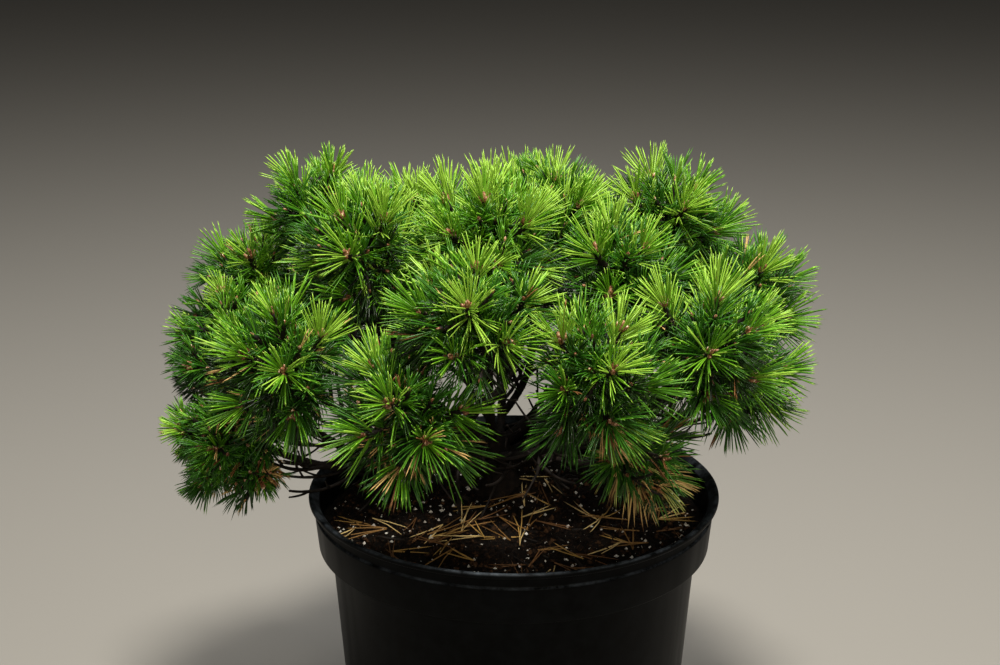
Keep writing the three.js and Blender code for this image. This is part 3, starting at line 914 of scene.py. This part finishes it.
def snags_along(limb, rng):
    """Bare twigs that leave a bough where it runs outside its mass."""
    parts = []
    step = snag.apart / limb.curve.length
    for share in np.arange(snag.first, snag.last, step):
        share = share + rng.uniform(-snag.uneven, snag.uneven) * step
        root, axis = limb.curve.at(share), limb.curve.way(share)
        turn = FULL_TURN * rng.random()
        leave_way = leaning(axis, turn, rng.uniform(snag.open_least, snag.open_most))
        grow = unit(leave_way + UP * snag.rise)
        tip = root + unit(leave_way + grow) * rng.uniform(snag.shortest, snag.longest)
        line = shoot_line(root, leave_way, tip, grow)
        if in_pot(line.at(np.linspace(snag.tested_from, 1, snag.tests))).any():
            continue
        parts.append(fine_twig(line, snag.root_radius, snag.tip_radius, rng))
        for _ in range(snag.forks):
            fork_root = line.at(rng.uniform(*snag.fork_at))
            fork_way = unit(grow + rng.normal(0, snag.fork_stir, 3))
            fork_tip = fork_root + fork_way * snag.fork_length * rng.uniform(*snag.fork_share)
            fork = Curve(fork_root, lerp(fork_root, fork_tip, 0.5) - UP * snag.fork_sag, fork_tip)
            if not in_pot(fork.at(np.linspace(0, 1, snag.tests))).any():
                parts.append(fine_twig(fork, snag.tip_radius, snag.fork_thinner * snag.tip_radius, rng))
    return parts


def add_snags(limbs, material):
    rng = np.random.default_rng(SEEDS.bare_twigs)
    parts = []
    for limb in limbs:
        if limb.name != "trunk":
            parts += snags_along(limb, rng)
    place(add_mesh("bare_twigs", *joined(parts), [material]), "bark")


def bud_shape(root, way, length, radius, rng):
    """An ovoid bud with a drawn-out point and a few scale edges."""
    shares, sizes = np.array(bud.profile).T[:, :, None]
    radii = sizes * radius * rng.uniform(*bud.uneven, (len(bud.profile), bud.sides))
    return tube(root + way * (shares * length), radii, bud.sides)


def buds_of(own, size, rng):
    """A bud at a shoot's tip with a few smaller ones round it."""
    root = own.tip - own.grow * bud.sunk
    parts = [bud_shape(root, own.grow, bud.length * size, bud.radius * size, rng)]
    count = rng.integers(*bud.side_count)
    for k in range(count):
        turn = FULL_TURN * k / count + rng.uniform(-bud.turn_stir, bud.turn_stir)
        aside = vector_across(own.grow, turn)
        way = unit(own.grow + aside * bud.side_open)
        scale = size * rng.uniform(*bud.side_size)
        foot = root + aside * bud.side_out
        parts.append(bud_shape(foot, way, bud.side_length * scale, bud.side_radius * scale, rng))
    return parts


def add_buds(crown, material):
    rng = np.random.default_rng(SEEDS.buds)
    length, radius = bud.side_length * bud.fine, bud.side_radius * bud.fine
    parts = []
    for mass in crown:
        for own in mass.shoots:
            parts += buds_of(own, rng.uniform(*bud.size), rng)
        for own in mass.side_shoots:
            parts.append(bud_shape(own.tip - own.grow, own.grow, length, radius, rng))
    place(add_mesh("buds", *joined(parts), [material]), "bark")


def add_limbs(limbs, material):
    """The trunk, and each bough with its pegs."""
    rng = np.random.default_rng(SEEDS.limbs)
    trunk_limb, *boughs = limbs
    piece = add_mesh("bark_trunk", *bark_limb(trunk_limb, trunk_bark, rng), [material])
    place(piece, "bark", "trunk")
    for limb in boughs:
        skin = bark_limb(limb, bough_bark, rng)
        count = int(limb.curve.length / stub.apart)
        stubs = stubs_along(limb.curve, stub.bough_last, count, bough.tip_radius, stub.length, rng)
        piece = add_mesh(f"bark_{limb.name}", *joined([skin, stubs]), [material])
        place(piece, "bark", f"bough_{limb.name}")


# Pot, soil and what lies on it


def rounded(outline):
    """An outline with its corners turned to short curves."""
    points = [outline[0]]
    for before, corner, after in zip(outline, outline[1:], outline[2:]):
        before, corner, after = (np.array(point, float) for point in (before, corner, after))
        ends = []
        for other in (before, after):
            reach = min(pot_mesh.corner, pot_mesh.most_of_side * np.linalg.norm(corner - other))
            ends.append(corner + unit(other - corner) * reach)
        for step in range(pot_mesh.corner_steps + 1):
            share = step / pot_mesh.corner_steps
            points.append(lerp(lerp(ends[0], corner, share), lerp(corner, ends[1], share), share))
    points.append(outline[-1])
    return np.array(points)


def lathe(outline, sides):
    """Quads turned round Z from an outline of (radius, height) that starts and ends near the axis."""
    least_radius = 0.05
    radius = np.maximum(outline[:, :1], least_radius)
    height = np.broadcast_to(outline[:, 1:], (len(outline), sides))
    turns = turns_round(sides)
    points = np.stack([radius * np.cos(turns), radius * np.sin(turns), height], -1)
    return points.reshape(-1, 3), quads_between(len(outline), sides)


def pot_outline():
    def at(radius, depth):
        return radius, pot.height - depth

    def body_at(depth):
        return pot.body_radius - (depth - pot.band_foot_depth) * pot.body_taper

    foot_radius = body_at(pot.height)
    inside = pot.height - pot.floor
    return rounded([
        at(0, pot.height),
        at(foot_radius - pot.foot_chamfer, pot.height),
        at(foot_radius, pot.height - pot.foot_chamfer),
        at(pot.body_radius, pot.band_foot_depth),
        at(pot.band_foot_radius, pot.band_foot_depth),
        at(pot.band_radius, pot.shoulder_depth),
        at(pot.collar_radius, pot.shoulder_depth - pot.edge),
        at(pot.collar_radius, pot.lip_depth),
        at(pot.lip_radius, pot.lip_depth - pot.edge),
        at(pot.lip_radius, pot.edge),
        at(pot.lip_radius - pot.edge, 0),
        at(pot.lip_radius - pot.lip_thickness, 0),
        at(pot.collar_radius - pot.wall, pot.lip_depth),
        at(pot.collar_radius - pot.wall, pot.shoulder_depth),
        at(pot.band_foot_radius - pot.wall, pot.band_foot_depth - pot.wall),
        at(pot.body_radius - pot.wall, pot.band_foot_depth + pot.edge),
        at(body_at(inside) - pot.wall, inside),
        at(0, inside),
    ])


def circle(radius, count, shift=0.0):
    """Places evenly round the pot's axis, as x and y, turned by a share of a step."""
    turns = FULL_TURN * (np.arange(count) + shift) / count
    return radius * np.stack([np.cos(turns), np.sin(turns)], 1)


def cut_drains(piece):
    """Drainage holes near the edge of the pot's underside."""
    parts = []
    for x, y in circle(drain.ring, drain.count, 0.5):
        foot = np.array([x, y, -pot.floor])
        parts.append(tube(np.array([foot, foot + UP * 3 * pot.floor]), drain.radius, drain.sides))
    cutter = add_mesh("drain_cutter", *joined(parts), [])
    cut = piece.modifiers.new("drains", "BOOLEAN")
    cut.operation = "DIFFERENCE"
    cut.solver = "EXACT"
    cut.object = cutter
    cut_mesh = bpy.data.meshes.new_from_object(piece.evaluated_get(bpy.context.evaluated_depsgraph_get()))
    piece.modifiers.clear()
    piece.data = cut_mesh
    bpy.data.objects.remove(cutter)


def add_pot(material):
    piece = add_mesh("nursery_pot", *lathe(pot_outline(), pot_mesh.sides), [material])
    cut_drains(piece)
    piece.data.set_sharp_from_angle(angle=math.radians(pot_mesh.sharp_angle))
    place(piece, "pot", "pot")


def bump_at(x, y, height, width):
    """A smooth heap's height at a place that is x and y away from its top."""
    return height * math.exp(-(x ** 2 + y ** 2) / (2 * width ** 2))


def soil_height(x, y):
    """The soil's surface: crumbly, sunk to the pot's wall, and heaped round the trunk."""
    top = soil_top
    from_x, from_y = x - trunk.foot_x, y - trunk.foot_y
    radius = math.hypot(x, y)
    sunk = soil.edge_drop * max(0, radius - soil.flat_radius) / (pot.collar_radius - soil.flat_radius)
    heap = bump_at(from_x - top.heap_x, from_y, top.heap, top.heap_width)
    collar = bump_at(from_x, from_y, top.collar, top.collar_width)
    rolling = top.roll * noise.noise(Vector((x, y, 0)) / top.roll_size)
    crumbs = top.crumb * abs(noise.noise(Vector((x, y, top.crumb_layer)) / top.crumb_size))
    grit = top.grit * noise.noise(Vector((x, y, top.grit_layer)) / top.grit_size)
    return soil.level - sunk + heap + collar + rolling + crumbs + grit - top.settled


def add_soil(material):
    """The filling: rings from the middle of its crumbly top out to the pot's wall and down along it."""
    wall = pot.collar_radius - pot.wall - GAP
    rings = []
    for i in range(soil_top.rings):
        radius = wall * lerp(soil_top.first_ring, 1, i / (soil_top.rings - 1)) ** soil_top.crowding
        places = circle(radius, soil_top.around, 0.5 * (i % 2))
        rings.append([(x, y, soil_height(x, y)) for x, y in places])
    step_level = pot.height - pot.band_foot_depth
    body_wall = pot.body_radius - pot.wall - 2 * GAP
    floor_top = pot.floor + GAP
    for radius, height in (
        (wall - GAP, step_level + 2 * pot.wall),
        (body_wall, step_level + pot.wall),
        (body_wall, step_level - pot.edge),
        (body_wall - (step_level - floor_top) * pot.body_taper, floor_top),
    ):
        rings.append([(x, y, height) for x, y in circle(radius, soil_top.around)])
    points, faces = capped(np.array(rings), (0, 0, soil_height(0, 0)), (0, 0, floor_top))
    place(add_mesh("soil", points, faces[:, ::-1], [material]), "soil", "potting_soil")


def on_soil(rng, count, wall_room=8):
    """Places spread over the soil, off the trunk."""
    places = []
    while len(places) < count:
        radius = (pot.collar_radius - pot.wall - wall_room) * math.sqrt(rng.random())
        turn = FULL_TURN * rng.random()
        x, y = radius * math.cos(turn), radius * math.sin(turn)
        if math.hypot(x - trunk.foot_x, y - trunk.foot_y) > trunk.foot_radius + trunk.flare:
            places.append((x, y))
    return places


def lump(middle, size, rng):
    """A small lump with uneven corners: an octahedron with its corners stirred."""
    corners = np.array([(1, 0, 0), (-1, 0, 0), (0, 1, 0), (0, -1, 0), (0, 0, 1), (0, 0, -1)], float)
    corners = corners * rng.uniform(*lump_shape.size, (6, 1)) + rng.normal(0, lump_shape.stir, (6, 3))
    edges = ((0, 2), (2, 1), (1, 3), (3, 0))
    faces = [(a, b, 4) for a, b in edges] + [(b, a, 5) for a, b in edges]
    return middle + corners * size, np.array(faces)


def add_lumps(name, kind, material, seed):
    rng = np.random.default_rng(seed)
    count, least, most, lift = kind
    parts = []
    for x, y in on_soil(rng, count):
        size = lerp(least, most, rng.random() ** lump_shape.small_power)
        parts.append(lump(np.array([x, y, soil_height(x, y) + size * lift]), size, rng))
    place(add_mesh(name, *joined(parts), [material], smooth=False), "soil")


def litter_places(rng):
    places = []
    while len(places) < litter.pairs:
        (x, y), = on_soil(rng, 1, litter.room)
        band = math.exp(-((y - litter.band_y - litter.band_slope * x) / litter.band_width) ** 2)
        from_foot = (x - trunk.foot_x - litter.foot_x) ** 2 + (y - trunk.foot_y - litter.foot_y) ** 2
        foot = math.exp(-from_foot / litter.foot_width ** 2)
        if rng.random() < litter.everywhere + litter.band * band + litter.foot * foot:
            places.append((x, y))
    return places


def add_litter(materials):
    """Pairs of dead needles, open like a V from their sheath, lying over one another on the soil."""
    rng = np.random.default_rng(SEEDS.litter)
    fallen = []
    for x, y in litter_places(rng):
        turn = FULL_TURN * rng.random()
        spread = rng.uniform(*litter.spread)
        lift = rng.uniform(*litter.lift)
        length = rng.uniform(*litter.length)
        tint = rng.integers(0, len(materials))
        curl = rng.normal(0, litter.curl)
        for sign in (-1, 1):
            own_turn = turn + sign * spread / 2
            way = np.array([math.cos(own_turn), math.sin(own_turn), 0])
            tip = np.array([x, y, 0]) + way * length
            if math.hypot(tip[0], tip[1]) > pot.collar_radius - pot.wall - litter.wall_room:
                length *= litter.shorter
                tip = np.array([x, y, 0]) + way * length
            rise = soil_height(tip[0], tip[1]) - soil_height(x, y) + rng.uniform(*litter.tip_lift)
            aside = curl + litter.splay * sign
            fallen.append(Sizes(
                root=[(x, y, soil_height(x, y) + lift)],
                way=[way + UP * rise / length],
                bend=[(-way[1] * aside, way[0] * aside, rng.uniform(*litter.bow))],
                length=[length],
                tint=[tint],
            ))
    needles = gathered(fallen)
    needles.width = rng.uniform(*litter.width, len(fallen))
    needles.ref = rng.normal(size=(len(fallen), 3))
    points, faces, owner, _ = needle_shapes(needles, FALLEN_RINGS)
    place(add_mesh("fallen_needles", points, faces, materials, needles.tint[owner]), "needles")


def add_twig_bits(material):
    """Bits of bark and snapped twig among the litter."""
    rng = np.random.default_rng(SEEDS.twig_bits)
    parts = []
    for x, y in on_soil(rng, bits.count, bits.room):
        turn = FULL_TURN * rng.random()
        length = rng.uniform(*bits.length)
        foot = np.array([x, y, soil_height(x, y) + bits.lift])
        way = np.array([math.cos(turn), math.sin(turn), rng.uniform(*bits.rise)])
        kink = np.cross(way, UP) * rng.uniform(-bits.kink, bits.kink)
        places = np.array([foot, foot + way * length * 0.5 + kink, foot + way * length])
        parts.append(tube(places, rng.uniform(*bits.radius), bits.sides))
    place(add_mesh("twig_bits", *joined(parts), [material]), "bark")


# Materials


def paint(code):
    """A linear colour from a hex code."""
    parts = [int(code[k:k + 2], 16) / 255 for k in (1, 3, 5)]
    return [part / 12.92 if part <= 0.04045 else ((part + 0.055) / 1.055) ** 2.4 for part in parts] + [1]


def new_material(name, roughness, specular):
    material = bpy.data.materials.new(name)
    material.use_nodes = True
    tree = material.node_tree
    surface = tree.nodes["Principled BSDF"]
    surface.inputs["Roughness"].default_value = roughness
    surface.inputs["Specular IOR Level"].default_value = specular
    return material, tree, surface


def plain_material(name, code, roughness, specular):
    material, _, surface = new_material(name, roughness, specular)
    surface.inputs["Base Color"].default_value = paint(code)
    return material


def add_node(tree, kind, inputs, **settings):
    """A shader node. Inputs go by name or number, and are linked if they are sockets and set otherwise."""
    node = tree.nodes.new(f"ShaderNode{kind}")
    for name, value in settings.items():
        setattr(node, name, value)
    for name, value in inputs.items():
        if isinstance(value, bpy.types.NodeSocket):
            tree.links.new(value, node.inputs[name])
        else:
            node.inputs[name].default_value = value
    return node


def noise_node(tree, scale, detail=4, roughness=0.5, stretch=(1, 1, 1)):
    """Noise over the object's own coordinates."""
    own = add_node(tree, "TexCoord", {})
    mapping = add_node(tree, "Mapping", {"Vector": own.outputs["Object"], "Scale": stretch})
    inputs = {"Vector": mapping.outputs["Vector"], "Scale": scale, "Detail": detail, "Roughness": roughness}
    return add_node(tree, "TexNoise", inputs).outputs["Fac"]


def ramp_node(tree, value, stops):
    ramp = add_node(tree, "ValToRGB", {"Fac": value})
    elements = ramp.color_ramp.elements
    while len(elements) < len(stops):
        elements.new(0.5)
    for element, (position, code) in zip(elements, stops):
        element.position = position
        element.color = paint(code)
    return ramp.outputs["Color"]


def range_node(tree, value, from_min, from_max, to_min, to_max):
    ends = {"From Min": from_min, "From Max": from_max, "To Min": to_min, "To Max": to_max}
    return add_node(tree, "MapRange", {"Value": value, **ends}).outputs["Result"]


def math_node(tree, operation, first, second):
    return add_node(tree, "Math", {0: first, 1: second}, operation=operation).outputs["Value"]


def mix_node(tree, factor, first, second):
    """Two colours mixed. The sockets for colours share their names with others, so they go by number."""
    return add_node(tree, "Mix", {0: factor, 6: first, 7: second}, data_type="RGBA").outputs[2]


def bump_node(tree, surface, height, strength, depth):
    bump = add_node(tree, "Bump", {"Height": height, "Strength": strength, "Distance": depth})
    tree.links.new(bump.outputs["Normal"], surface.inputs["Normal"])


def grained_material(name, roughness, specular, grain, stops, bump=None):
    """A material whose colour follows a grain. A grain is (features per metre, detail, roughness), stops
    are (position, hex code), and a bump is (grain, strength, depth in metres)."""
    material, tree, surface = new_material(name, roughness, specular)
    colour = ramp_node(tree, noise_node(tree, *grain), stops)
    tree.links.new(colour, surface.inputs["Base Color"])
    if bump:
        bump_grain, strength, depth = bump
        bump_node(tree, surface, noise_node(tree, *bump_grain), strength, depth)
    return material


def needle_materials():
    greens = [plain_material(f"needle_green_{k}", code, 0.38, 0.4) for k, code in enumerate(GREENS)]
    return greens + [plain_material(f"needle_{name}", code, 0.55, 0.3) for name, code in OTHERS.items()]


def litter_materials():
    codes = ("#b08c4a", "#8a6636", "#d9bd80", "#6e4b2a")
    return [plain_material(f"litter_{k}", code, 0.6, 0.3) for k, code in enumerate(codes)]


def bark_material():
    stops = [(0.3, "#060403"), (0.5, "#130c08"), (0.66, "#231912"), (0.8, "#45392a")]
    return grained_material("bark", 0.85, 0.25, (260, 6, 0.7), stops, bump=((700, 4), 0.5, 0.0008))


def twig_material():
    stops = [(0.3, "#070403"), (0.52, "#140d08"), (0.66, "#241911"), (0.8, "#4f402d")]
    return grained_material("twig", 0.7, 0.3, (420, 5, 0.65), stops)


def stub_material():
    return plain_material("stub", "#8f8a5e", 0.7, 0.3)


def bud_material():
    stops = [(0.3, "#33190f"), (0.46, "#6b3f28"), (0.57, "#a0714c"), (0.68, "#dccbb0")]
    return grained_material("bud", 0.5, 0.4, (380, 4, 0.6), stops)


def soil_material():
    grain = (330, 8, 0.75)
    stops = [(0.36, "#030201"), (0.5, "#0b0704"), (0.6, "#23160d"), (0.74, "#6b4f37")]
    return grained_material("compost", 0.95, 0.15, grain, stops, bump=(grain, 1.0, 0.004))


def crumb_material():
    stops = [(0.35, "#050302"), (0.52, "#170e08"), (0.66, "#4d3522")]
    return grained_material("crumbs", 0.95, 0.15, (120, 4, 0.6), stops)


def perlite_material():
    return grained_material("perlite", 0.8, 0.3, (500, 3), [(0.35, "#a9a39a"), (0.6, "#ece8e0")])


def pot_material():
    """Black moulded plastic: satin, with faint stripes down the body that are a painted reflection, and grey
    dust on the faces that turn up, which also stands for a painted highlight on the rim and shoulder.
    """
    material, tree, surface = new_material("pot_plastic", 0.4, 0.045)
    reflection_streaks = noise_node(tree, 42, 3, stretch=(1, 1, 0.06))
    normal = add_node(tree, "NewGeometry", {}).outputs["Normal"]
    facing_up = add_node(tree, "SeparateXYZ", {"Vector": normal}).outputs["Z"]
    # Faces that turn up get grey dust, which also serves as a painted highlight on the rim and shoulder
    upturned_dust_and_highlight = range_node(tree, facing_up, 0.1, 0.9, 0.0, 0.32)
    patchy = range_node(tree, noise_node(tree, 70, 8, 0.72), 0.4, 0.78, 0.0, 1.0)
    dust_and_highlight = math_node(tree, "MULTIPLY", patchy, math_node(tree, "ADD", upturned_dust_and_highlight, 0.01))
    # The body's colour follows the stripes: a painted reflection
    body = ramp_node(tree, reflection_streaks, [(0.3, "#010101"), (0.7, "#040505")])
    tree.links.new(mix_node(tree, dust_and_highlight, body, paint("#8c97a3")), surface.inputs["Base Color"])
    worn = range_node(tree, reflection_streaks, 0.3, 0.7, 0.36, 0.52)
    matt = math_node(tree, "ADD", worn, math_node(tree, "MULTIPLY", dust_and_highlight, 0.5))
    tree.links.new(matt, surface.inputs["Roughness"])
    bump_node(tree, surface, noise_node(tree, 900, 3), 0.12, 0.0003)
    return material


# Stage


def add_stage():
    corners = [(x * FLOOR_REACH, y * FLOOR_REACH, 0) for x, y in ((-1, -1), (1, -1), (1, 1), (-1, 1))]
    mesh = bpy.data.meshes.new("floor")
    mesh.from_pydata(corners, [], [(0, 1, 2, 3)])
    mesh.materials.append(plain_material("floor_matt", "#8b8882", 0.9, 0.2))
    add_object("floor", mesh)


def add_lights():
    for name, (place_at, size, power, colour) in LIGHTS.items():
        light = bpy.data.lights.new(name, "AREA")
        light.shape = "DISK"
        light.size = size
        light.energy = power
        light.color = paint(colour)[:3]
        lamp = add_object(name, light)
        lamp.location = place_at
        lamp.rotation_euler = (Vector(LIGHT_AIM) - Vector(place_at)).to_track_quat("-Z", "Y").to_euler()
    world = bpy.data.worlds.new("studio")
    world.use_nodes = True
    world.node_tree.nodes["Background"].inputs["Color"].default_value = paint(WORLD.colour)
    world.node_tree.nodes["Background"].inputs["Strength"].default_value = WORLD.strength
    bpy.context.scene.world = world


def add_camera():
    data = bpy.data.cameras.new("camera")
    data.sensor_width = camera.sensor
    data.lens = camera.focal / camera.frame * camera.sensor
    view = add_object("camera", data)
    view.location = (0, camera.y, camera.z)
    view.rotation_euler = (math.radians(90 - camera.tilt), 0, math.radians(camera.roll))
    bpy.context.scene.camera = view


def set_colours():
    scene = bpy.context.scene
    scene.view_settings.view_transform = "Standard"
    scene.view_settings.look = "None"
    scene.cycles.use_denoising = True
    scene.cycles.max_bounces = 6
    scene.cycles.diffuse_bounces = 3


def dress_plant():
    crown, limbs, space = grow_crown()
    greens = needle_materials()
    for mass in crown:
        add_sprays(mass, space, greens)
    twig_look = twig_material()
    add_twigs(crown, twig_look, stub_material())
    add_snags(limbs, twig_look)
    add_buds(crown, bud_material())
    add_limbs(limbs, bark_material())


def fill_pot():
    add_pot(pot_material())
    add_soil(soil_material())
    add_lumps("soil_crumbs", lump_kinds.crumbs, crumb_material(), SEEDS.crumbs)
    add_lumps("perlite", lump_kinds.perlite, perlite_material(), SEEDS.perlite)
    add_litter(litter_materials())
    add_twig_bits(twig_material())


add_camera()
add_stage()
add_lights()
set_colours()
fill_pot()
dress_plant()
